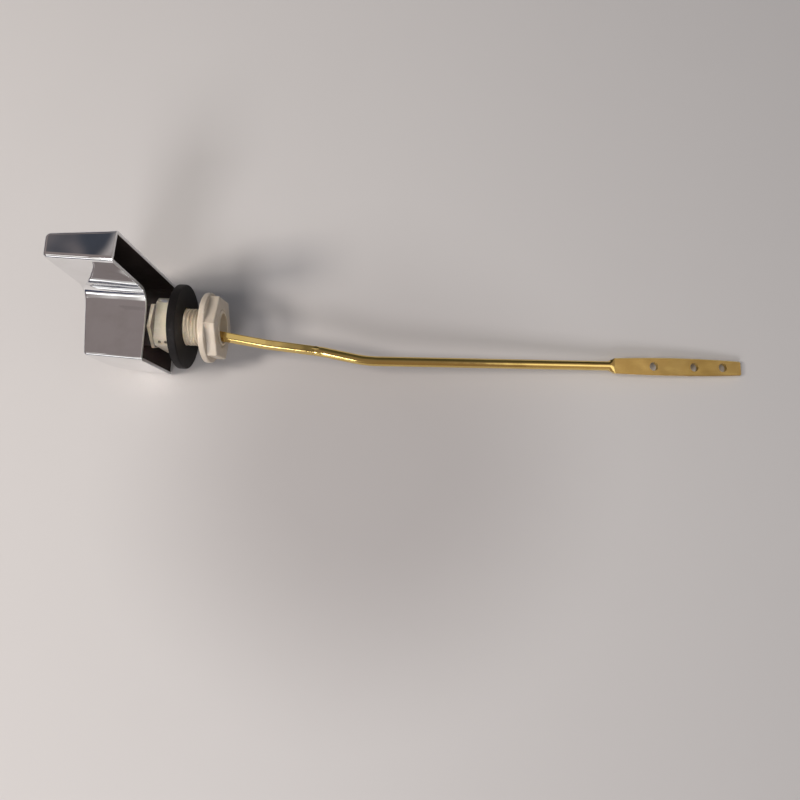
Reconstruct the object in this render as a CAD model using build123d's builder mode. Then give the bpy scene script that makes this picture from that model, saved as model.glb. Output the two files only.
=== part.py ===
from build123d import *
from math import cos, radians, sin, tan
import os

# Side-mount cistern lever: a cast, L-shaped handle turns in a threaded spud and lifts a bent brass rod.
# +X runs along the spud into the cistern, +Z is up, and the arm of the handle points at the user, along -Y.
# The origin is the centre of the gasket face that seals against the cistern wall.
# Lengths are in millimetres and angles in degrees.

# Handle: outline of its open rim, then its depth and wall
hub_width = 36.0
hub_height = 40.4
axis_above_underside = 18.3
arm_reach = 51.0
arm_root_thickness = 13.3
arm_tip_thickness = 12.1
arm_tip_lean = 1.8
handle_depth = 24.7
front_lean = 4.0
front_yaw = 1.2
top_draft = 4.2
underside_draft = 3.3
side_draft = 2.0
handle_wall = 1.3
handle_edge_radius = 1.8
top_front_radius = 2.4
hub_nose_radius = 15.0
arm_corner_radius = 6.0
rim_gap = 8.0

# Boss and stem inside the handle
boss_radius = 8.6
stem_radius = 6.34
stem_into_gasket = 1.7
stem_lead_in = 0.6
snap_groove_depth = 0.6
snap_groove_width = 2.0
snap_from_stem_end = 2.4

# Spud: threaded barrel, square block, groove and hexagonal plate
barrel_radius = 7.8
barrel_past_wall = 14.9
barrel_end_chamfer = 0.7
block_side = 20.0
block_length = 7.2
block_corner_chamfer = 2.4
head_groove_width = 1.5
head_groove_radius = 7.6
plate_across_flats = 18.2
plate_thickness = 1.5
plate_turn = 15.0
spud_edge_chamfer = 0.3
mould_pip_radius = 0.7
mould_pip_depth = 0.8
mould_pip_spacing = 2.6

# Gasket
gasket_radius = 17.8
gasket_thickness = 3.5
gasket_edge_chamfer = 0.4

# Lock nut
nut_from_gasket = 7.8
nut_flange_radius = 14.8
nut_flange_thickness = 2.7
nut_across_flats = 24.9
nut_hex_length = 4.2
nut_turn = 5.0
nut_edge_chamfer = 0.4
nut_mouth_chamfer = 0.6

# Lever rod: the shank leaves the spud axis at a slope, then three bends lead to the flattened end
shank_side = 3.5
shank_roll = 16.0
shank_cross_x = -9.2
shank_slope = 8.1
shank_depth_in_handle = 17.0
first_bend_x = 33.2
second_bend_x = 57.3
second_bend_back = 1.85
second_bend_drop = 7.86
third_bend_x = 76.0
third_bend_back = 3.2
third_bend_drop = 10.8
rod_reach = 250.7
rod_tip_back = 15.9
rod_tip_drop = 4.4
first_bend_radius = 5.0
second_bend_radius = 16.0
third_bend_radius = 50.0
rod_radius = 2.15
round_off_length = 3.2
round_off_before_bend = 1.7

# Flattened end of the rod
blade_length = 62.0
blade_taper_length = 3.0
blade_root_width = 7.0
blade_width = 8.2
blade_widest_from_root = 30.0
blade_tip_width = 6.5
blade_tip_drop = 0.2
blade_tip_corner_radius = 0.8
blade_thickness = 1.8
blade_edge_chamfer = 0.35
chain_hole_radius = 2.0
chain_hole_from_tip = 9.3
outer_chain_hole_step = 14.1
inner_chain_hole_step = 19.9

# Fits
stem_running_clearance = 0.06
stem_shoulder_clearance = 0.3
snap_clearance = 0.2
socket_clearance = 0.04
gasket_hole_clearance = 0.2
thread_clearance = 0.05

# Places along the spud axis
gasket_front_x = -gasket_thickness
rim_x = gasket_front_x - rim_gap
front_x = rim_x - handle_depth
block_front_x = gasket_front_x - block_length
groove_front_x = block_front_x - head_groove_width
head_front_x = groove_front_x - plate_thickness
shoulder_x = head_front_x - stem_shoulder_clearance
stem_end_x = gasket_front_x + stem_into_gasket
snap_end_x = stem_end_x - snap_from_stem_end
snap_start_x = snap_end_x - snap_groove_width
hex_start_x = nut_from_gasket + nut_flange_thickness

# Centre line of the rod
shank_direction = Vector(cos(radians(shank_slope)), 0, -sin(radians(shank_slope)))
shank_cross = Vector(shank_cross_x, 0, 0)
shank_end = shank_cross - shank_direction * shank_depth_in_handle
first_bend = shank_cross + shank_direction * ((first_bend_x - shank_cross_x) / cos(radians(shank_slope)))
second_bend = Vector(second_bend_x, second_bend_back, -second_bend_drop)
third_bend = Vector(third_bend_x, third_bend_back, -third_bend_drop)
rod_tip = Vector(rod_reach, rod_tip_back, -rod_tip_drop)
flats_direction = (second_bend - first_bend).normalized()
round_start = second_bend - flats_direction * round_off_before_bend
flats_end = round_start - flats_direction * round_off_length
tip_direction = (rod_tip - third_bend).normalized()
blade_root = rod_tip - tip_direction * blade_length
round_end = blade_root - tip_direction * blade_taper_length

# The blade's broad face looks at the user, and its width runs up and down
towards_user = Vector(0, -1, 0)
blade_normal = (towards_user - tip_direction * towards_user.dot(tip_direction)).normalized()

os.makedirs("parts", exist_ok=True)


def across(x):
    """Plane across the spud axis at x, facing into the cistern, with Y and Z as its own axes."""
    return Plane(origin=(x, 0, 0), x_dir=(0, 1, 0), z_dir=(1, 0, 0))


def across_rod(point, direction):
    """Plane across the rod at a point of its centre line, squared up to the user."""
    return Plane(origin=point, x_dir=(0, 1, 0), z_dir=direction)


def write(builder, node):
    """Label a finished piece and write it as its own STEP file."""
    builder.part.label = node
    export_step(builder.part, f"parts/{node}.step")


# Handle: a drafted prism on the outline of the rim, cut off by a front face that leans back under the arm
# and turns a little towards the user
front_normal = Vector(-1, -tan(radians(front_yaw)), -tan(radians(front_lean)))
front_plane = Plane(origin=(front_x, 0, 0), x_dir=(0, 0, 1), z_dir=front_normal)
front_overrun = hub_width * tan(radians(front_yaw)) + hub_height * tan(radians(front_lean))
rim_plane = Plane(origin=(rim_x, 0, 0), x_dir=(0, -1, 0), z_dir=(-1, 0, 0))
hub_half = hub_width / 2
underside = -axis_above_underside
top = hub_height - axis_above_underside
arm_corner = (rim_x - handle_depth / 2, -hub_half, top - arm_root_thickness)


def handle_form(inset):
    """Solid inside the handle's surface, its small edges still sharp, with all but the rim moved in by inset."""
    with BuildPart() as form:
        with BuildSketch(rim_plane):
            with BuildLine():
                Polyline(
                    (-hub_half, underside),
                    (hub_half, underside),
                    (hub_half, top - arm_root_thickness),
                    (arm_reach, top - arm_tip_thickness),
                    (arm_reach - arm_tip_lean, top),
                    (-hub_half, top),
                    close=True,
                )
            make_face()
            if inset:
                offset(amount=-inset, kind=Kind.INTERSECTION)
        extrude(amount=handle_depth + front_overrun)
        sides = form.faces().filter_by(Axis.X, reverse=True).sort_by(Axis.Z)
        draft(sides[-1], neutral_plane=rim_plane, angle=top_draft)
        sides = form.faces().filter_by(Axis.X, reverse=True).sort_by(Axis.Z)
        draft(sides[0], neutral_plane=rim_plane, angle=underside_draft)
        sides = form.faces().filter_by(Axis.X, reverse=True).sort_by(Axis.Z)
        draft(sides[1:-1], neutral_plane=rim_plane, angle=side_draft)
        split(bisect_by=front_plane.offset(-inset), keep=Keep.BOTTOM)

        front_face = form.faces().sort_by(Axis.X)[0]
        fillet(front_face.edges().sort_by(Axis.Y)[-1], radius=hub_nose_radius - inset)
        fillet(form.edges().sort_by_distance(arm_corner)[0], radius=arm_corner_radius + inset)
        top_face = form.faces().sort_by(Axis.Z)[-1]
        fillet(top_face.edges().sort_by(Axis.X)[0], radius=top_front_radius - inset)
    return form.part


# The hollow leaves a boss standing on the front wall, which carries the stem that turns in the spud
with BuildPart() as hollow:
    add(handle_form(handle_wall))
    with BuildSketch(across(shoulder_x)):
        Circle(boss_radius)
    extrude(amount=front_x - front_overrun - shoulder_x, mode=Mode.SUBTRACT)

socket_side = shank_side + 2 * socket_clearance
with BuildPart() as handle:
    add(handle_form(0))
    rim_edges = handle.faces().sort_by(Axis.X)[-1].edges()
    fillet(handle.edges() - rim_edges, radius=handle_edge_radius)
    add(hollow.part, mode=Mode.SUBTRACT)
    with BuildSketch(Plane.XZ):
        with BuildLine():
            Polyline(
                (shoulder_x, 0),
                (shoulder_x, stem_radius),
                (snap_start_x, stem_radius),
                (snap_start_x, stem_radius - snap_groove_depth),
                (snap_end_x, stem_radius - snap_groove_depth),
                (snap_end_x, stem_radius),
                (stem_end_x - stem_lead_in, stem_radius),
                (stem_end_x, stem_radius - stem_lead_in),
                (stem_end_x, 0),
                close=True,
            )
        make_face()
    revolve(axis=Axis.X)
    with BuildSketch(across_rod(shank_end, shank_direction)):
        Rectangle(socket_side, socket_side, rotation=-shank_roll)
    extrude(amount=2 * shank_depth_in_handle, mode=Mode.SUBTRACT)

write(handle, "handle")

# Spud: the head stands between the handle and the gasket, and the threaded barrel passes through the wall
bore_radius = stem_radius + stem_running_clearance
ridge_radius = stem_radius - snap_groove_depth + snap_clearance
ridge_start_x = snap_start_x + snap_clearance
ridge_end_x = snap_end_x - snap_clearance
ridge_slope = bore_radius - ridge_radius
pip_face = Vector(0, -1, -1).normalized()
pip_centre_y = -(block_side - block_corner_chamfer) / 2
pip_plane = Plane(
    origin=((block_front_x + gasket_front_x) / 2, pip_centre_y, pip_centre_y),
    x_dir=(1, 0, 0),
    z_dir=pip_face,
)

with BuildPart() as spud:
    with BuildSketch(across(head_front_x)):
        RegularPolygon(plate_across_flats / 2, 6, major_radius=False, rotation=plate_turn)
    extrude(amount=plate_thickness)
    with BuildSketch(across(block_front_x)):
        Rectangle(block_side, block_side)
    extrude(amount=block_length)
    chamfer(spud.edges().filter_by(Axis.X).group_by(SortBy.LENGTH)[-1], length=block_corner_chamfer)
    chamfer(spud.faces().filter_by(Axis.X).edges(), length=spud_edge_chamfer)
    with BuildSketch(across(groove_front_x)):
        Circle(head_groove_radius)
    extrude(amount=head_groove_width)
    with BuildSketch(across(gasket_front_x)):
        Circle(barrel_radius)
    extrude(amount=gasket_thickness + barrel_past_wall)
    chamfer(spud.faces().sort_by(Axis.X)[-1].edges(), length=barrel_end_chamfer)
    with BuildSketch(across(head_front_x)):
        Circle(bore_radius)
    extrude(amount=barrel_past_wall - head_front_x, mode=Mode.SUBTRACT)
    with BuildSketch(Plane.XZ):
        with BuildLine():
            Polyline(
                (ridge_start_x, bore_radius),
                (ridge_start_x + ridge_slope, ridge_radius),
                (ridge_end_x - ridge_slope, ridge_radius),
                (ridge_end_x, bore_radius),
                close=True,
            )
        make_face()
    revolve(axis=Axis.X)
    with BuildSketch(pip_plane):
        with GridLocations(mould_pip_spacing, 0, 2, 1):
            Circle(mould_pip_radius)
    extrude(amount=-mould_pip_depth, mode=Mode.SUBTRACT)

write(spud, "spud")

# Gasket: a flat rubber washer, square up against the spud's block
with BuildPart() as gasket:
    with BuildSketch(across(gasket_front_x)):
        Circle(gasket_radius)
        Circle(barrel_radius + gasket_hole_clearance, mode=Mode.SUBTRACT)
    extrude(amount=gasket_thickness)
    chamfer(gasket.edges().filter_by(GeomType.CIRCLE).group_by(SortBy.RADIUS)[-1], length=gasket_edge_chamfer)

write(gasket, "gasket")

# Lock nut: a hexagon with a round flange that bears on the inside of the wall
nut_bore_radius = barrel_radius + thread_clearance
with BuildPart() as lock_nut:
    with BuildSketch(across(nut_from_gasket)):
        Circle(nut_flange_radius)
    extrude(amount=nut_flange_thickness)
    chamfer(lock_nut.edges().filter_by(GeomType.CIRCLE), length=nut_edge_chamfer)
    with BuildSketch(across(hex_start_x)):
        RegularPolygon(nut_across_flats / 2, 6, major_radius=False, rotation=nut_turn)
    extrude(amount=nut_hex_length)
    chamfer(lock_nut.faces().sort_by(Axis.X)[-1].edges(), length=nut_edge_chamfer)
    with BuildSketch(across(nut_from_gasket)):
        Circle(nut_bore_radius)
    extrude(amount=nut_flange_thickness + nut_hex_length, mode=Mode.SUBTRACT)
    chamfer(lock_nut.faces().sort_by(Axis.X)[-1].inner_wires().edges(), length=nut_mouth_chamfer)

write(lock_nut, "lock_nut")

# Lever rod: blade with its chain holes, then the square shank and the round rod that carry it
blade_plane = Plane(origin=blade_root, x_dir=tip_direction, z_dir=blade_normal)
root_half = blade_root_width / 2
blade_half = blade_width / 2
tip_low = -blade_tip_width / 2 - blade_tip_drop
tip_high = blade_tip_width / 2 - blade_tip_drop
outer_hole = blade_length - chain_hole_from_tip
middle_hole = outer_hole - outer_chain_hole_step
inner_hole = middle_hole - inner_chain_hole_step

with BuildPart() as blade:
    with BuildSketch(blade_plane) as blade_outline:
        with BuildLine():
            ThreePointArc((0, root_half), (blade_widest_from_root, blade_half), (blade_length, tip_high))
            Line((blade_length, tip_high), (blade_length, tip_low))
            ThreePointArc((blade_length, tip_low), (blade_widest_from_root, -blade_half), (0, -root_half))
            Line((0, -root_half), (0, root_half))
        make_face()
        fillet(blade_outline.vertices().group_by(Axis.X)[-1], radius=blade_tip_corner_radius)
    extrude(amount=blade_thickness / 2, both=True)
    broad_faces = blade.faces().filter_by(Plane(origin=blade_root, z_dir=blade_normal))
    root_edges = blade.faces().sort_by(Axis.X)[0].edges()
    chamfer(broad_faces.edges() - root_edges, length=blade_edge_chamfer)
    with BuildSketch(blade_plane):
        with Locations((inner_hole, 0), (middle_hole, 0), (outer_hole, 0)):
            Circle(chain_hole_radius)
    extrude(amount=blade_thickness, both=True, mode=Mode.SUBTRACT)

with BuildPart() as lever_rod:
    with BuildLine():
        FilletPolyline(shank_end, first_bend, flats_end, radius=first_bend_radius)
    with BuildSketch(across_rod(shank_end, shank_direction)):
        Rectangle(shank_side, shank_side, rotation=-shank_roll)
    sweep()
    with BuildSketch(across_rod(flats_end, flats_direction)):
        Rectangle(shank_side, shank_side, rotation=-shank_roll)
    with BuildSketch(across_rod(round_start, flats_direction)):
        Circle(rod_radius)
    loft()
    with BuildLine():
        FilletPolyline(
            round_start,
            second_bend,
            third_bend,
            round_end,
            radius=(second_bend_radius, third_bend_radius),
        )
    with BuildSketch(across_rod(round_start, flats_direction)):
        Circle(rod_radius)
    sweep()
    with BuildSketch(across_rod(round_end, tip_direction)):
        Circle(rod_radius)
    with BuildSketch(across_rod(blade_root, tip_direction)):
        Rectangle(blade_thickness, blade_root_width)
    loft()
    add(blade.part)

write(lever_rod, "lever_rod")
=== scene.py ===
# %% [markdown]
# # A side-mount cistern lever
# A hollow chromed handle turns in a plastic spud that passes through the cistern wall. A lock nut draws
# the spud and its rubber gasket against the wall, and a bent brass rod on the handle's stem lifts the
# flush chain inside. The solids come packed from CAD in metres, so each piece here starts from its solid
# and gets what a solid lacks: broken edges, a real thread, plated, moulded, rubber and drawn-brass
# surfaces, a table and light.

# %% Load the packed solids
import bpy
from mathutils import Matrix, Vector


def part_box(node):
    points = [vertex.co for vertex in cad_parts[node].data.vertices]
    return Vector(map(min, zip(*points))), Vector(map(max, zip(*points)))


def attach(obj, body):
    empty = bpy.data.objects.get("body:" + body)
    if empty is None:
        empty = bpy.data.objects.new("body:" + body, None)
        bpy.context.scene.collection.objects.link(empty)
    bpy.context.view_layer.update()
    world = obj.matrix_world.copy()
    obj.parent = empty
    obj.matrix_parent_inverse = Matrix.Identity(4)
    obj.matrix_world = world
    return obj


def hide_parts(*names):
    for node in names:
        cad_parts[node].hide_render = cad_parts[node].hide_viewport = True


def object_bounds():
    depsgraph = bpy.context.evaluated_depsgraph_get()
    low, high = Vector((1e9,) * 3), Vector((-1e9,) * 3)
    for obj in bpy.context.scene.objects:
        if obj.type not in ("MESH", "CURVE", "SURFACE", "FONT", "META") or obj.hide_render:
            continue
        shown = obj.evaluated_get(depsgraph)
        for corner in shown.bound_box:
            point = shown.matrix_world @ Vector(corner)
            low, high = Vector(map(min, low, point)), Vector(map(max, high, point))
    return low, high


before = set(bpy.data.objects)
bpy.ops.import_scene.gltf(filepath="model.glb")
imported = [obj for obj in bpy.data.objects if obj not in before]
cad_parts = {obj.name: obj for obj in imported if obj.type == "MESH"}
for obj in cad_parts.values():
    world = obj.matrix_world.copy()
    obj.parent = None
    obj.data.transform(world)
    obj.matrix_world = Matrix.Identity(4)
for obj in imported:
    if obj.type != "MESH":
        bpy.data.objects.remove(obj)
cad_box = [list(corner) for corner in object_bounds()]

import math

import bmesh
import bpy
from mathutils import Matrix, Vector
from mathutils.bvhtree import BVHTree

MM = 0.001
print("solids:", sorted(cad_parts), "box from", cad_box[0], "to", cad_box[1])

# %% [markdown]
# ## Looking at the lever
# The photograph looks down on a table where the lever lies on its back, so in the lever's own frame the
# camera stands at the user's side, a little below the spud, and looks along +Y at the table just behind
# the lever. A phone's lens is about 27 mm on a full frame. A camera could be turned by hand, but a place,
# a point to aim at and a roll say more, and are easy to tune.

# %% Camera
PHONE_LENS = 27.0
FULL_FRAME_WIDTH = 36.0
NEAREST_SEEN = 10.0 * MM
TABLE_BEHIND_LEVER = 0.2 * MM
table_y = cad_box[1][1] + TABLE_BEHIND_LEVER
camera_place = Vector((80.76, -253.62, -59.44)) * MM
camera_aim = Vector((92.00 * MM, table_y, -25.35 * MM))
camera_roll = math.radians(1.985)

camera_data = bpy.data.cameras.new("camera")
camera_data.lens = PHONE_LENS
camera_data.sensor_width = FULL_FRAME_WIDTH
camera_data.clip_start = NEAREST_SEEN
camera = bpy.data.objects.new("camera", camera_data)
bpy.context.scene.collection.objects.link(camera)
looking = (camera_aim - camera_place).to_track_quat("-Z", "Y").to_matrix().to_4x4()
camera.matrix_world = Matrix.Translation(camera_place) @ looking @ Matrix.Rotation(camera_roll, 4, "Z")
bpy.context.scene.camera = camera
print("camera:", round((camera_aim - camera_place).length, 4), "m from the table")

# %% [markdown]
# ## Writing shaders as sums
# Every finish below is a small sum: a noise, scaled, added to a base value. Dragging nodes about hides
# that sum, so one small class wraps a node's output and lets Python's own operators add the Math nodes. A
# second one stands for a node tree. Its method add makes any other kind of node, and a few short ones
# name the nodes that come back in every finish.


# %% A wire with operators
class Wire:
    """A node's output that can be added, scaled and compared: each operator adds one Math node."""

    def __init__(self, tree, socket):
        self.tree = tree
        self.socket = socket

    def other(self, output):
        """Another output of the same node."""
        return Wire(self.tree, self.socket.node.outputs[output])

    def __add__(self, value):
        return self.tree.math("ADD", self, value)

    def __radd__(self, value):
        return self.tree.math("ADD", value, self)

    def __sub__(self, value):
        return self.tree.math("SUBTRACT", self, value)

    def __rsub__(self, value):
        return self.tree.math("SUBTRACT", value, self)

    def __mul__(self, value):
        return self.tree.math("MULTIPLY", self, value)

    def __rmul__(self, value):
        return self.tree.math("MULTIPLY", value, self)

    def __truediv__(self, value):
        return self.tree.math("DIVIDE", self, value)

    def __rtruediv__(self, value):
        return self.tree.math("DIVIDE", value, self)

    def __lt__(self, value):
        return self.tree.math("LESS_THAN", self, value)

    def __gt__(self, value):
        return self.tree.math("GREATER_THAN", self, value)

    def least(self, value):
        """The smaller of two values."""
        return self.tree.math("MINIMUM", self, value)

    def most(self, value):
        """The larger of two values."""
        return self.tree.math("MAXIMUM", self, value)

    def between(self, low, high):
        """0 at or below low, 1 at or above high, and a smooth ramp from one to the other."""
        settings = {"interpolation_type": "SMOOTHSTEP"}
        sockets = {"Value": self, "From Min": low, "From Max": high}
        return self.tree.add("ShaderNodeMapRange", settings, sockets)

    def within(self, rise, fall):
        """1 between two soft edges and 0 outside them. Each edge is the pair of values it lies between."""
        return self.between(*rise) * (1 - self.between(*fall))


print("a wire has", sum(name.startswith("__r") for name in vars(Wire)), "reflected operators")


# %% A tree of nodes
class Tree:
    """A node tree that adds nodes and links to itself."""

    def __init__(self, nodes_of):
        self.tree = nodes_of

    def add(self, kind, settings=None, sockets=None, output=0):
        """Add a node of any type, with its settings first and then its sockets, and give one output."""
        node = self.tree.nodes.new(kind)
        for name, value in (settings or {}).items():
            setattr(node, name, value)
        self.feed(node, sockets or {})
        return Wire(self, node.outputs[output]) if node.outputs else None

    def feed(self, node, sockets):
        """Link a wire, or several wires in turn, to each socket, or give the socket a plain value."""
        for name, value in sockets.items():
            socket = node.inputs[name]
            if isinstance(value, Wire):
                self.tree.links.new(value.socket, socket)
            elif isinstance(value, list):
                for wire in value:
                    self.tree.links.new(wire.socket, socket)
            elif socket.type == "RGBA":
                socket.default_value = (*value, 1.0)
            else:
                socket.default_value = value

    def math(self, operation, *values):
        """Math node on wires and plain values."""
        return self.add("ShaderNodeMath", {"operation": operation}, dict(enumerate(values)))

    def mix(self, factor, first, second):
        """Colour that goes from first to second as the factor goes from 0 to 1."""
        settings = {"data_type": "RGBA"}
        return self.add("ShaderNodeMix", settings, {0: factor, 6: first, 7: second}, output=2)

    def distance(self, place, middle):
        """How far a place is from a fixed point."""
        settings = {"operation": "DISTANCE"}
        return self.add("ShaderNodeVectorMath", settings, {0: place, 1: middle}, output="Value")

    def noise(self, place, scale, detail, roughness=0.5):
        """Noise from 0 to 1, with about as many clouds to the metre as its scale says."""
        sockets = {"Vector": place, "Scale": scale, "Detail": detail, "Roughness": roughness}
        return self.add("ShaderNodeTexNoise", {}, sockets)

    def bump(self, height, strength=1.0, distance=1.0):
        """Normal of a surface with a shallow relief, whose height is in units of distance, in metres."""
        sockets = {"Strength": strength, "Distance": distance, "Height": height}
        return self.add("ShaderNodeBump", {}, sockets)


def new_finish(name):
    """New material: the material, its tree, its Principled shader and the place on the piece."""
    material = bpy.data.materials.new(name)
    material.use_nodes = True
    tree = Tree(material.node_tree)
    place = tree.add("ShaderNodeTexCoord", output="Object")
    return material, tree, material.node_tree.nodes["Principled BSDF"], place


print("a tree can", [name for name in vars(Tree) if not name.startswith("_")])

# %% [markdown]
# ## The place where it lies
# A pale matt table top. A board could be modelled, but a plane is all that shows of it. The viewer leans
# over it and dims its middle, and that is quicker told as a tint by distance than by a figure in the
# light. Its back is see-through, so that a view from behind still shows the lever.

# %% Table finish
DIM_MIDDLE = (76.0 * MM, table_y, -55.0 * MM)
DIM_CORE = 30.0 * MM
DIM_EDGE = 130.0 * MM
DIM_TINT = (0.470, 0.439, 0.422)
PALE_TINT = (0.618, 0.586, 0.562)
TABLE_CLOUDS = 0.10

table_finish, tree, shader, place = new_finish("pale_table")
cloud = tree.noise(place, scale=30.0, detail=2.0)
shade = tree.distance(place, DIM_MIDDLE).between(DIM_CORE, DIM_EDGE) + TABLE_CLOUDS * (cloud - 0.5)
tree.feed(shader, {
    "Base Color": tree.mix(shade, DIM_TINT, PALE_TINT),
    "Roughness": 0.55,
    "Specular IOR Level": 0.25,
})
see_through = tree.add("ShaderNodeBsdfTransparent")
behind = tree.add("ShaderNodeNewGeometry", output="Backfacing")
from_camera = tree.add("ShaderNodeLightPath", output="Is Camera Ray")
layers = {0: behind * from_camera, 1: Wire(tree, shader.outputs[0]), 2: see_through}
surface = tree.add("ShaderNodeMixShader", {}, layers)
tree.feed(table_finish.node_tree.nodes["Material Output"], {"Surface": surface})
print("table finish has", len(table_finish.node_tree.nodes), "nodes")

# %% Table
TABLE_HALF = 1.6
corners = [(-1, 1), (1, 1), (1, -1), (-1, -1)]
table_points = [(x * TABLE_HALF, table_y, z * TABLE_HALF) for x, z in corners]
facing_the_lever = (3, 2, 1, 0)
table_mesh = bpy.data.meshes.new("table")
table_mesh.from_pydata(table_points, [], [facing_the_lever])
table_mesh.materials.append(table_finish)
table = bpy.data.objects.new("table", table_mesh)
bpy.context.scene.collection.objects.link(table)
print("table faces", tuple(round(v, 2) for v in table_mesh.polygons[0].normal))

# %% [markdown]
# ## What the chrome mirrors
# A mirror shows the room, so the room is half of what chrome and brass look like. A picture of a room
# could be wrapped round the lever, but a few rules of direction are enough: a mauve wall that turns paler
# on the right and brown low down there, a window on each side, and dark zones above and at the level of
# the table. Round patches stand for a lit ceiling, the viewer's own dark shape and two small lamps.
# Together they draw the bright and dark lines along each rounded edge. Matt surfaces get an even, dim and
# bluish light instead, and the camera sees a pale grey backdrop.

# %% Zones of the room
world = bpy.data.worlds.new("room")
world.use_nodes = True
bpy.context.scene.world = world
tree = Tree(world.node_tree)
direction = tree.add("ShaderNodeTexCoord", output="Generated")
rightwards = tree.add("ShaderNodeSeparateXYZ", {}, {"Vector": direction})
away_from_viewer, upwards = rightwards.other("Y"), rightwards.other("Z")
ray = tree.add("ShaderNodeLightPath")


def patch(middle, core, edge):
    """1 in a round patch of the room and 0 outside it, with a soft rim between two radii."""
    return 1 - tree.distance(direction, middle).between(core, edge)


to_the_right = rightwards.between(0.30, 0.60)
low_right = rightwards.between(0.0, 0.20) * (1 - upwards.between(-0.36, -0.20))
beside_window = rightwards.within((0.34, 0.44), (0.53, 0.58)) * (1 - upwards.between(0.22, 0.34))
right_window = rightwards.between(0.30, 0.42) * upwards.within((-0.50, -0.37), (0.02, 0.19))
low_window = rightwards.within((-0.52, -0.40), (-0.20, -0.06)) * (1 - upwards.between(-0.58, -0.44))
overhead = upwards.between(0.70, 0.90)
dark_above = rightwards.between(0.0, 0.12) * upwards.between(0.40, 0.70)
dark_middle = rightwards.within((-0.02, 0.10), (0.32, 0.44)) * upwards.between(0.22, 0.46)
table_level = away_from_viewer.between(-0.26, -0.06) * (1 - rightwards.between(-0.30, -0.18))
lit_ceiling = patch((-0.18, -0.71, 0.68), core=0.06, edge=0.36)
viewer = patch((-0.41, -0.70, 0.58), core=0.06, edge=0.23)
low_lamp = patch((-0.52, -0.36, -0.77), core=0.06, edge=0.12)
side_lamp = patch((-0.56, -0.71, -0.42), core=0.05, edge=0.10)
print("zones of the room take", len(world.node_tree.nodes), "nodes")

# %% Colours of the room, each laid over those before it
MAUVE_WALL = (0.243, 0.205, 0.198)
PALER_WALL = (0.30, 0.245, 0.215)
room_colours = [
    (low_right, (0.25, 0.19, 0.155)),
    (beside_window, (0.43, 0.35, 0.30)),
    (lit_ceiling, (0.64, 0.61, 0.60)),
    (viewer, (0.052, 0.057, 0.072)),
    (low_window, (1.05, 1.02, 0.98)),
    (overhead, (0.050, 0.053, 0.060)),
    (dark_above, (0.035, 0.036, 0.036)),
    (dark_middle, (0.080, 0.079, 0.068)),
    (table_level, (0.028, 0.038, 0.080)),
    (right_window, (1.25, 1.20, 1.12)),
    (low_lamp, (2.2, 2.2, 2.2)),
    (side_lamp, (1.6, 1.55, 1.5)),
    (ray.other("Is Diffuse Ray"), (0.076, 0.087, 0.116)),
    (ray.other("Is Camera Ray"), (0.62, 0.60, 0.59)),
]
room = tree.mix(to_the_right, MAUVE_WALL, PALER_WALL)
for zone, colour in room_colours:
    room = tree.mix(zone, room, colour)
tree.feed(world.node_tree.nodes["Background"], {"Color": room})
bpy.context.scene.view_settings.view_transform = "Standard"
print("room has", len(world.node_tree.nodes), "nodes")

# %% [markdown]
# ## Light
# The shadows are soft and fall to the right and upwards, so most of the light comes from the left, on the
# viewer's side. One lamp could do it, but five panels come closer: two lamps on the left, a low window
# that shines from below, a weak ceiling on the right, and a narrow lamp into the gap behind the handle.
# Chrome would show each as a hard bright square, so mirrors see the room's own zones instead. Only the
# low window is left for them to see: it draws the bright line along the rod's shank and throws the bright
# patch under the hub.

# %% Panels
WARM_WHITE = (1.0, 0.95, 0.90)
WINDOW_WHITE = (0.98, 0.97, 1.0)
COOL_WHITE = (0.94, 0.97, 1.0)
GAP_WHITE = (1.0, 0.95, 0.91)
SPUD_HEAD = (-11.0 * MM, -9.0 * MM, 0.0)


def panel(name, towards, distance, size, watts, colour, aim=(0, 0, 0), spread=180, mirrored=False):
    """Rectangle of light in a direction from the point it is aimed at, which mirrors see only if told to."""
    light = bpy.data.lights.new(name, "AREA")
    light.spread = math.radians(spread)
    light.shape = "RECTANGLE"
    light.size, light.size_y = size
    light.energy = watts
    light.color = colour
    lamp = bpy.data.objects.new(name, light)
    away = Vector(towards).normalized()
    turned = away.to_track_quat("Z", "Y").to_matrix().to_4x4()
    lamp.matrix_world = Matrix.Translation(Vector(aim) + away * distance) @ turned
    lamp.visible_glossy = mirrored
    bpy.context.scene.collection.objects.link(lamp)


panel("lamp_panel", (-0.46, -0.89, -0.02), distance=1.0, size=(0.18, 0.18), watts=2.9, colour=WARM_WHITE)
panel("second_panel", (-0.67, -0.71, -0.20), distance=1.0, size=(0.20, 0.20), watts=4.8, colour=WARM_WHITE)
panel(
    "low_panel", (-0.19, -0.63, -0.75), distance=1.2, size=(0.36, 0.36), watts=4.7, colour=WINDOW_WHITE,
    mirrored=True,
)
panel("ceiling_panel", (0.30, -0.93, 0.05), distance=1.2, size=(0.90, 0.90), watts=1.3, colour=COOL_WHITE)
panel(
    "gap_panel", (0.42, -0.90, -0.10), distance=0.4, size=(16 * MM, 28 * MM), watts=0.0017, colour=GAP_WHITE,
    aim=SPUD_HEAD, spread=6,
)

# %% [markdown]
# ## From loose triangles to a finished piece
# A packed solid is loose triangles with knife-sharp edges. On the real lever each edge is broken by the
# mould, the polish or the die, and that thin rounding is what catches the light. A Bevel modifier could
# round every edge alike, but each piece wants its own width and its own choice of edges. So a copy is
# welded, its flat faces are put back together, the chosen edges get a bevel, and the normals are weighted
# so that flat faces stay flat.

# %% Welding and breaking edges
WELD = 0.002 * MM
FLAT_WITHIN = math.radians(0.4)
ROUND_PROFILE = 0.5


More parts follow.
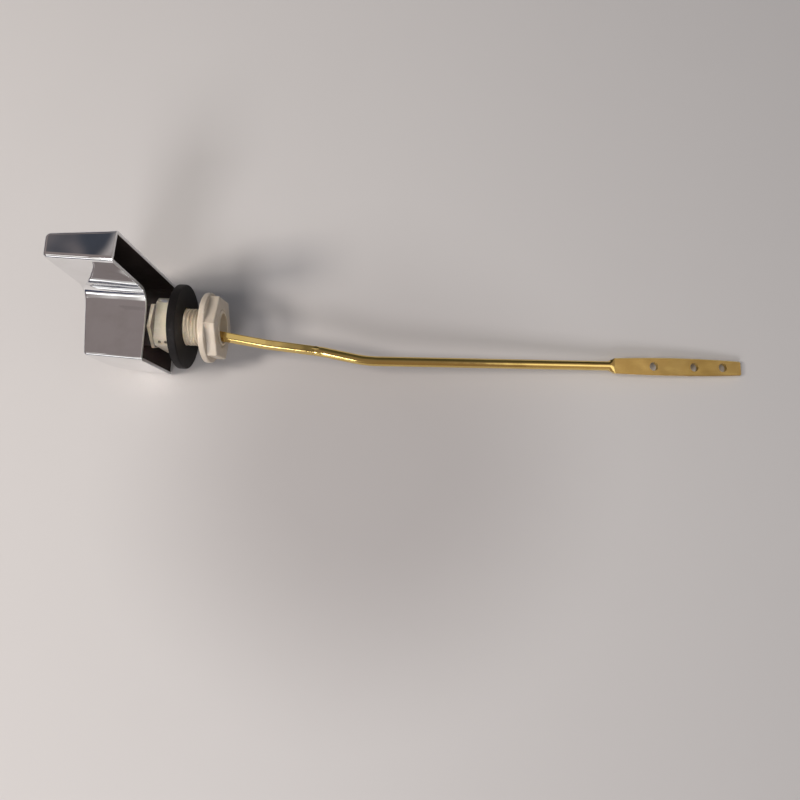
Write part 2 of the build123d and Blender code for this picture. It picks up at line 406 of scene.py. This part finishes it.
def piece_from(node, weld=WELD):
    """Welded copy of a solid as a mesh in the making, with its flat faces joined up again."""
    form = bmesh.new()
    form.from_mesh(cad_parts[node].data)
    bmesh.ops.remove_doubles(form, verts=form.verts, dist=weld)
    bmesh.ops.dissolve_degenerate(form, dist=weld, edges=form.edges)
    bmesh.ops.dissolve_limit(form, angle_limit=FLAT_WITHIN, verts=form.verts, edges=form.edges)
    for face in form.faces:
        face.material_index = 0
    return form


def break_edges(form, width, sharper_than, segments=2, where=lambda edge: True, clamp=True):
    """Bevel the chosen edges that turn by more than an angle in degrees, and count them."""
    limit = math.radians(sharper_than)
    sharp = [e for e in form.edges if len(e.link_faces) == 2 and e.calc_face_angle() > limit and where(e)]
    bmesh.ops.bevel(
        form, geom=sharp, offset=width, segments=segments, profile=ROUND_PROFILE, affect="EDGES",
        clamp_overlap=clamp,
    )
    return len(sharp)


def shown(form, name, materials):
    """Turn a form into an object with its materials."""
    mesh = bpy.data.meshes.new(name)
    form.to_mesh(mesh)
    form.free()
    for material in materials:
        mesh.materials.append(material)
    piece = bpy.data.objects.new(name, mesh)
    bpy.context.scene.collection.objects.link(piece)
    return piece


print("welding ready, points closer than", WELD / MM, "mm become one")

# %% Smoothing a piece and tying it to the lever
SHARP_FROM = math.radians(35)


def made_real(piece):
    """Plain mesh of a piece with its modifiers carried out. The modifiers are then removed."""
    mesh = bpy.data.meshes.new_from_object(piece.evaluated_get(bpy.context.evaluated_depsgraph_get()))
    piece.modifiers.clear()
    return mesh


def turn_faces_outwards(mesh):
    """Make every face of a closed mesh point out of it."""
    form = bmesh.new()
    form.from_mesh(mesh)
    bmesh.ops.recalc_face_normals(form, faces=form.faces)
    form.to_mesh(mesh)
    form.free()


def settle(piece, body, node, recalculate=False):
    """Make a piece's modifiers real, smooth it, tie it to its body and hide the CAD node it replaces."""
    mesh = made_real(piece)
    if recalculate:
        turn_faces_outwards(mesh)
    mesh.shade_smooth()
    mesh.set_sharp_from_angle(angle=SHARP_FROM)
    piece.data = mesh
    weighting = piece.modifiers.new("flat_faces_stay_flat", "WEIGHTED_NORMAL")
    weighting.keep_sharp = True
    piece.data = made_real(piece)
    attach(piece, body)
    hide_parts(node)
    print(piece.name, "has", len(piece.data.polygons), "faces and replaces", node)


print("edges that turn by more than", round(math.degrees(SHARP_FROM)), "degrees stay sharp")

# %% [markdown]
# ## Chrome plate
# Polished zinc under bright chrome mirrors nearly everything. It is never quite even: the polishing wheel
# leaves long soft waves and rounds the arm off a little towards its rim, and fingers leave a faint haze.
# The mesh could be bent by such waves, but they only bend what the chrome mirrors and never show in the
# outline, so a bump gives them, and a noise in the roughness gives the haze. The rim is ground flat and
# stays duller.

# %% Chrome
CLEAR_CHROME = (0.86, 0.865, 0.875)
HAZY_CHROME = (0.80, 0.80, 0.80)
RIM_IN_FRONT_OF_GASKET = 8.0 * MM
GROUND_FROM = 0.30 * MM
GROUND_TO = 0.05 * MM
WAVE_HEIGHT = 0.5 * MM
CROWN = 9.0
CROWN_WIDTH = 6.0 * MM
CROWN_LEVEL = 17.0 * MM
CROWN_SLANT = 0.4
ARM_FROM = 30.0 * MM
ARM_TO = 44.0 * MM
rim_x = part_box("gasket")[0].x - RIM_IN_FRONT_OF_GASKET

chrome, tree, shader, place = new_finish("chrome_plate")
haze = tree.noise(place, scale=130.0, detail=5.0, roughness=0.62)
grain = tree.noise(place, scale=900.0, detail=3.0)
wave = tree.noise(place, scale=55.0, detail=1.0)
towards_rim = tree.add("ShaderNodeSeparateXYZ", {}, {"Vector": place})
along_arm = 0.0 - towards_rim.other("Y")
height_up = towards_rim.other("Z")
ground_rim = towards_rim.between(rim_x - GROUND_FROM, rim_x - GROUND_TO)
roll = (towards_rim - (rim_x - CROWN_WIDTH) + CROWN_SLANT * (CROWN_LEVEL - height_up)).most(0.0)
crown = CROWN * roll * roll * along_arm.between(ARM_FROM, ARM_TO)
tree.feed(shader, {
    "Base Color": tree.mix(haze.between(0.35, 0.75), CLEAR_CHROME, HAZY_CHROME),
    "Metallic": 1.0,
    "Roughness": 0.035 + 0.05 * haze.between(0.45, 0.80) + 0.02 * grain + 0.3 * ground_rim,
    "Normal": tree.bump(WAVE_HEIGHT * wave - crown),
})
print("chrome ends at a rim", round(rim_x / MM, 2), "mm along the spud's axis")

# %% [markdown]
# ## Bare casting
# The inside of the handle takes no plate: it keeps the rough, stained skin of the die casting, and is
# almost black. A dark paint would do from afar, but close up it would look like a hole, so a fine noise
# gives the skin its grain and a coarse one its stains.

# %% Dark casting
CASTING = (0.038, 0.030, 0.028)
STAINED_CASTING = (0.056, 0.045, 0.041)
CASTING_GRAIN = 0.1 * MM

dark_casting, tree, shader, place = new_finish("dark_casting")
skin = tree.noise(place, scale=420.0, detail=6.0, roughness=0.6)
stain = tree.noise(place, scale=90.0, detail=3.0)
tree.feed(shader, {
    "Base Color": tree.mix(stain.between(0.4, 0.7), CASTING, STAINED_CASTING),
    "Roughness": 0.38 + 0.25 * skin,
    "Specular IOR Level": 0.25,
    "Normal": tree.bump(skin, strength=0.5, distance=CASTING_GRAIN),
})
print("casting has", len(dark_casting.node_tree.nodes), "nodes")

# %% [markdown]
# ## Handle
# One hollow die casting, open towards the cistern. The solid already has its draft, its leaning front,
# its rounded nose and its fillets, so the form is kept and only the sharp rim is eased. Which faces are
# plated could be picked by hand, but a rule holds when a size changes: a face is inside when a ray from
# it along its normal meets the casting again, when it looks out of the opening from behind the rim, or
# when it is on the stem, beyond the rim.

# %% Handle with a plated outside and a dark inside
RIM_BREAK = 0.18 * MM
RAY_START = 0.02 * MM
LOOKS_OUT = 0.5
BEHIND_RIM = 1.0 * MM
BEYOND_RIM = 0.5 * MM
AT_RIM = 0.01 * MM

handle_form = piece_from("handle")
casting = BVHTree.FromBMesh(handle_form)


def inside_the_shell(face):
    """True for a face that the plating bath leaves bare."""
    middle = face.calc_center_median()
    meets_casting = casting.ray_cast(middle + face.normal * RAY_START, face.normal)[0] is not None
    looks_out = face.normal.x > LOOKS_OUT and middle.x < rim_x - BEHIND_RIM
    return meets_casting or looks_out or middle.x > rim_x + BEYOND_RIM


def at_the_rim(edge):
    """True for edges of the open rim and of the stem beyond it."""
    return min(v.co.x for v in edge.verts) > rim_x - AT_RIM


for face in handle_form.faces:
    face.material_index = int(inside_the_shell(face))
print("handle faces inside:", sum(face.material_index for face in handle_form.faces))
print("rim edges broken:", break_edges(handle_form, RIM_BREAK, sharper_than=50, where=at_the_rim))
handle = shown(handle_form, "chrome_handle", [chrome, dark_casting])
settle(handle, "lever", "handle")

# %% [markdown]
# ## Ivory plastic
# The spud and the nut are moulded in plain ivory nylon, the nut's a little greyer; the spud's tint is also
# set paler than the nut's, as painted light that lifts the shade its head sits in behind the handle. Such
# plastic lets some light in, has a slightly uneven sheen and yellows in soft clouds. The groove of the
# spud's head and its two small mould marks are darkened with painted shade. Subsurface light could carry the
# clouds, but a clouded base colour with a little subsurface looks the same at this size and bakes well.

# %% Painted shade in the spud's recesses
# Painted shade: a dark brown laid over the groove of the spud's head and its two mould marks.
PAINTED_RECESS_SHADE = (0.16, 0.125, 0.09)
RECESS_SHADE_COVER = 0.85
RECESS_SHADE_EDGE = 0.08 * MM
PLATE_THICKNESS = 1.5 * MM
GROOVE_WIDTH = 1.5 * MM
MARK_FLOOR = 8.23 * MM
MARK_PLACES = (-8.4 * MM, -5.8 * MM)
MARK_INNER = 0.85 * MM
MARK_OUTER = 1.05 * MM
groove_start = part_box("spud")[0].x + PLATE_THICKNESS
groove_end = groove_start + GROOVE_WIDTH


def shade_in_recesses(tree, place):
    """1 in the groove of the spud's head and in its two mould marks, where shade is painted, and 0
    elsewhere.
    """
    along = tree.add("ShaderNodeSeparateXYZ", {}, {"Vector": place})
    recess_shade = along.within((groove_start - RECESS_SHADE_EDGE, groove_start), (groove_end - RECESS_SHADE_EDGE, groove_end))
    for x in MARK_PLACES:
        from_mark = tree.distance(place, (x, -MARK_FLOOR, -MARK_FLOOR))
        recess_shade = recess_shade.most(1 - from_mark.between(MARK_INNER, MARK_OUTER))
    return recess_shade


print("groove from", round(groove_start / MM, 2), "to", round(groove_end / MM, 2), "mm")

# %% Ivory finishes
# The spud's tints are set paler than the nut's, partly as painted light that lifts the shade the spud's head
# sits in behind the handle.
SPUD_LIGHT = (0.79, 0.69, 0.545)
SPUD_DEEP = (0.73, 0.625, 0.47)
NUT_LIGHT = (0.62, 0.54, 0.44)
NUT_DEEP = (0.57, 0.485, 0.38)
SATIN_GRAIN = 0.08 * MM
LIGHT_GOES_IN = 1.2 * MM
REDDENING = (1.0, 0.75, 0.5)


def moulded_plastic(name, light, deep, recesses=None):
    """Moulded plastic that goes from a light to a deeper tint in soft clouds, with a fine satin skin."""
    material, tree, shader, place = new_finish(name)
    cloud = tree.noise(place, scale=160.0, detail=3.0)
    skin = tree.noise(place, scale=1400.0, detail=4.0)
    flow = tree.noise(place, scale=260.0, detail=2.0)
    tint = tree.mix(cloud.between(0.32, 0.70), light, deep)
    if recesses:
        # Painted shade in the recesses, mixed into the base colour.
        tint = tree.mix(RECESS_SHADE_COVER * recesses(tree, place), tint, PAINTED_RECESS_SHADE)
    tree.feed(shader, {
        "Base Color": tint,
        "Roughness": 0.36 + 0.16 * skin,
        "Normal": tree.bump(skin + flow, strength=0.22, distance=SATIN_GRAIN),
        "Subsurface Weight": 0.2,
        "Subsurface Radius": REDDENING,
        "Subsurface Scale": LIGHT_GOES_IN,
    })
    return material


spud_ivory = moulded_plastic("ivory_spud", SPUD_LIGHT, SPUD_DEEP, recesses=shade_in_recesses)
nut_ivory = moulded_plastic("ivory_nut", NUT_LIGHT, NUT_DEEP)
print("ivory finishes:", spud_ivory.name, "and", nut_ivory.name)

# %% [markdown]
# ## A thread by rule
# The spud's barrel carries a moulded thread, which is one ridge that climbs along the barrel by a pitch
# at each turn. A helix could be swept, but a rule is neater: on a grid bent round the barrel, a point's
# radius depends only on how far it is along and round. Geometry Nodes bend the grid and apply that rule.
# A second grid lines the bore, and the two are welded into one closed sleeve.

# %% Thread tree
THREAD_LENGTHS = ("Start", "End", "Crest", "Bore", "Pitch", "Depth", "Plain", "Chamfer")
THREAD_COUNTS = ("Around", "Along")
FLANK = (0.15, 0.80)
RUN_IN = 0.6


def new_thread_group():
    """Empty Geometry Nodes tree with the thread's named inputs."""
    group = bpy.data.node_groups.new("threaded_barrel", "GeometryNodeTree")
    kinds = {"Geometry": "NodeSocketGeometry"}
    kinds.update({name: "NodeSocketFloat" for name in THREAD_LENGTHS})
    kinds.update({name: "NodeSocketInt" for name in THREAD_COUNTS})
    kinds["Material"] = "NodeSocketMaterial"
    for name, kind in kinds.items():
        group.interface.new_socket(name, in_out="INPUT", socket_type=kind)
    group.interface.new_socket("Geometry", in_out="OUTPUT", socket_type="NodeSocketGeometry")
    return group


def bent_grid(tree, turn, x, radius, around, rows):
    """Grid of one turn by some rows, bent round the barrel."""
    sockets = {"Size X": 1.0, "Size Y": 1.0, "Vertices X": around + 1, "Vertices Y": rows}
    flat = tree.add("GeometryNodeMeshGrid", {}, sockets)
    angle = turn * math.tau
    y = radius * tree.math("COSINE", angle)
    z = radius * tree.math("SINE", angle)
    point = tree.add("ShaderNodeCombineXYZ", {}, {"X": x, "Y": y, "Z": z})
    return tree.add("GeometryNodeSetPosition", {}, {"Geometry": flat, "Position": point})


def threaded_barrel_tree():
    """Geometry Nodes tree that adds a closed threaded sleeve along +X to the mesh it is given."""
    group = new_thread_group()
    tree = Tree(group)
    size = tree.add("NodeGroupInput")
    start, end, crest, bore, pitch, depth, plain, chamfer = (size.other(name) for name in THREAD_LENGTHS)
    around, along = (size.other(name) for name in THREAD_COUNTS)
    spot = tree.add("ShaderNodeSeparateXYZ", {}, {0: tree.add("GeometryNodeInputPosition")})
    turn = spot + 0.5
    rise = spot.other("Y") + 0.5

    row = rise * (along + 1)
    share = ((row - 1) / (along - 1)).least(1.0).most(0.0)
    x = start + share * (end - start)
    climb = x / pitch - turn
    slant = 2 * tree.math("FRACT", climb) - 1
    ridge = tree.math("ABSOLUTE", slant).between(*FLANK)
    cut = depth * (1 - ridge) * ((x - plain) / pitch).between(0.0, RUN_IN)
    outer = (crest - cut).least(crest - (x - end + chamfer).most(0.0))
    first_or_last = (row < 0.5) + (row > along + 0.5)
    sleeve = bent_grid(tree, turn, x, outer + (bore - outer) * first_or_last, around, along + 2)
    hole = bent_grid(tree, turn, start + rise * (end - start), bore, around, 2)

    whole = tree.add("GeometryNodeJoinGeometry", {}, {"Geometry": [sleeve, hole]})
    welded = tree.add("GeometryNodeMergeByDistance", {}, {"Geometry": whole, "Distance": WELD})
    spud = tree.add("GeometryNodeJoinGeometry", {}, {"Geometry": [welded, size]})
    real = tree.add("GeometryNodeRealizeInstances", {}, {"Geometry": spud})
    coated = tree.add("GeometryNodeSetMaterial", {}, {"Geometry": real, "Material": size.other("Material")})
    tree.add("NodeGroupOutput", {}, {"Geometry": coated})
    return group


thread_tree = threaded_barrel_tree()
print("thread tree has", len(thread_tree.nodes), "nodes")

# %% [markdown]
# ## Spud
# One moulding: a thin hexagonal plate, a groove, a square block and the threaded barrel. The whole could
# be drawn anew, but the head of the solid is right as it is. So the solid's plain barrel is cut off
# inside the gasket, where no one sees the joint, and the threaded sleeve takes its place, at the barrel's
# own sizes.

# %% Spud
SPUD_BREAK = 0.22 * MM
BARREL_START = -1.0 * MM
barrel_sizes = {
    "Start": BARREL_START,
    "End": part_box("spud")[1].x,
    "Crest": 7.8 * MM,
    "Bore": 6.4 * MM,
    "Pitch": 1.4 * MM,
    "Depth": 0.75 * MM,
    "Plain": -0.6 * MM,
    "Chamfer": 0.7 * MM,
    "Around": 112,
    "Along": 190,
    "Material": spud_ivory,
}

spud_form = piece_from("spud")
everything = spud_form.verts[:] + spud_form.edges[:] + spud_form.faces[:]
cut = bmesh.ops.bisect_plane(
    spud_form, geom=everything, plane_co=(BARREL_START, 0, 0), plane_no=(1, 0, 0), clear_outer=True
)
ring = [e for e in cut["geom_cut"] if isinstance(e, bmesh.types.BMEdge)]
bmesh.ops.bridge_loops(spud_form, edges=ring)
print("spud edges broken:", break_edges(spud_form, SPUD_BREAK, sharper_than=40))
spud = shown(spud_form, "ivory_spud", [spud_ivory])

threading = spud.modifiers.new("thread", "NODES")
threading.node_group = thread_tree
for item in thread_tree.interface.items_tree:
    if item.in_out == "INPUT" and item.name in barrel_sizes:
        threading[item.identifier] = barrel_sizes[item.name]
settle(spud, "spud_and_gasket", "spud", recalculate=True)

# %% [markdown]
# ## Lock nut
# A hexagon with a thin round flange. The moulding has a small round at each edge. Each could be drawn in
# the solid, but one bevel over its sharp edges gives them all. Where the hexagon stands on the flange the
# corner stays sharp, and reads as a line.

# %% Lock nut
NUT_BREAK = 0.25 * MM
FLANGE_THICKNESS = 2.7 * MM
AT_FOOT = 0.01 * MM
hexagon_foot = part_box("lock_nut")[0].x + FLANGE_THICKNESS


def off_the_foot(edge):
    """True for edges that don't lie where the hexagon stands on the flange."""
    return any(abs(v.co.x - hexagon_foot) > AT_FOOT for v in edge.verts)


nut_form = piece_from("lock_nut")
print("nut edges broken:", break_edges(nut_form, NUT_BREAK, sharper_than=25, segments=3, where=off_the_foot))
nut = shown(nut_form, "ivory_lock_nut", [nut_ivory])
settle(nut, "lock_nut", "lock_nut")

# %% [markdown]
# ## Rubber gasket
# A washer cut from black rubber sheet. Rubber is dull, a little brown, and holds dust in its fine pores.
# The pores could be dents in the mesh, but they are far too small to see one by one, so a fine noise in
# the bump stands for them, and a coarse one dusts the colour and the roughness.

# %% Rubber
BLACK_RUBBER = (0.006, 0.005, 0.005)
DUSTY_RUBBER = (0.014, 0.012, 0.011)
PORE_DEPTH = 0.1 * MM

rubber, tree, shader, place = new_finish("black_rubber")
pores = tree.noise(place, scale=1500.0, detail=5.0)
dust = tree.noise(place, scale=240.0, detail=6.0, roughness=0.7)
tree.feed(shader, {
    "Base Color": tree.mix(dust.between(0.48, 0.78), BLACK_RUBBER, DUSTY_RUBBER),
    "Roughness": 0.5 + 0.2 * dust,
    "Specular IOR Level": 0.22,
    "Normal": tree.bump(pores, strength=0.4, distance=PORE_DEPTH),
})
print("rubber has", len(rubber.node_tree.nodes), "nodes")

# %% Gasket
GASKET_BREAK = 0.25 * MM

gasket_form = piece_from("gasket")
print("gasket edges broken:", break_edges(gasket_form, GASKET_BREAK, sharper_than=30))
gasket = shown(gasket_form, "rubber_gasket", [rubber])
settle(gasket, "spud_and_gasket", "gasket")

# %% [markdown]
# ## Brass
# Drawn brass is bright, with fine lines along its length from the die, and a little uneven where it was
# bent and hammered flat. The lines could be a picture wrapped round the rod, but a noise that is long
# along the rod and short across it draws them at any size, in roughness and bump. A coarse, shallow noise
# makes the surface uneven, and soft clouds tarnish the colour.

# %% Brass
BRIGHT_BRASS = (0.87, 0.645, 0.235)
TARNISHED_BRASS = (0.81, 0.585, 0.195)
LINES_STRETCH = (1.0, 22.0, 22.0)
LINE_DEPTH = 0.005 * MM
HAMMER_DEPTH = 0.15 * MM

brass, tree, shader, place = new_finish("drawn_brass")
along_rod = tree.add("ShaderNodeMapping", {}, {"Vector": place, "Scale": LINES_STRETCH})
lines = tree.noise(along_rod, scale=90.0, detail=5.0, roughness=0.6)
tarnish = tree.noise(place, scale=70.0, detail=4.0)
hammer = tree.noise(place, scale=110.0, detail=1.0)
tree.feed(shader, {
    "Base Color": tree.mix(tarnish.between(0.35, 0.70), BRIGHT_BRASS, TARNISHED_BRASS),
    "Metallic": 1.0,
    "Roughness": 0.07 + 0.06 * lines + 0.03 * tarnish,
    "Normal": tree.bump(LINE_DEPTH * lines + HAMMER_DEPTH * hammer),
})
print("brass has", len(brass.node_tree.nodes), "nodes")

# %% [markdown]
# ## Lever rod
# One bent rod: square where it enters the handle, then round, and flat at the end with three holes for
# the chain. The square shank is drawn with well-rounded corners, which catch the light as one bright
# line. They could be swept with the rod, but the solid has plain corners, which fit its socket. So its
# long corners get a wide bevel here, and the edges of the blade only a narrow one.

# %% Lever rod
ROD_WELD = 0.03 * MM
SHANK_END = 56.0 * MM
SHANK_ROUND = 0.7 * MM
BLADE_BREAK = 0.14 * MM
MOSTLY_LENGTHWISE = 0.5


def along_the_shank(edge):
    """True for the long corners of the square part of the rod."""
    first, last = (v.co.x for v in edge.verts)
    return max(first, last) < SHANK_END and abs(last - first) > MOSTLY_LENGTHWISE * edge.calc_length()


def past_the_shank(edge):
    """True for edges past the square part of the rod, of which only the blade's are sharp."""
    return min(v.co.x for v in edge.verts) > SHANK_END


rod_form = piece_from("lever_rod", weld=ROD_WELD)
corners_rounded = break_edges(
    rod_form, SHANK_ROUND, sharper_than=35, segments=5, where=along_the_shank, clamp=False
)
print("shank corners rounded:", corners_rounded)
print("blade edges broken:", break_edges(rod_form, BLADE_BREAK, sharper_than=40, where=past_the_shank))
rod = shown(rod_form, "brass_lever_rod", [brass])
settle(rod, "lever", "lever_rod")

# %% [markdown]
# ## Sizes
# The dressed lever has to be as big as the solids, which carry its real size. A millimetre too much is hard
# to see in a picture.
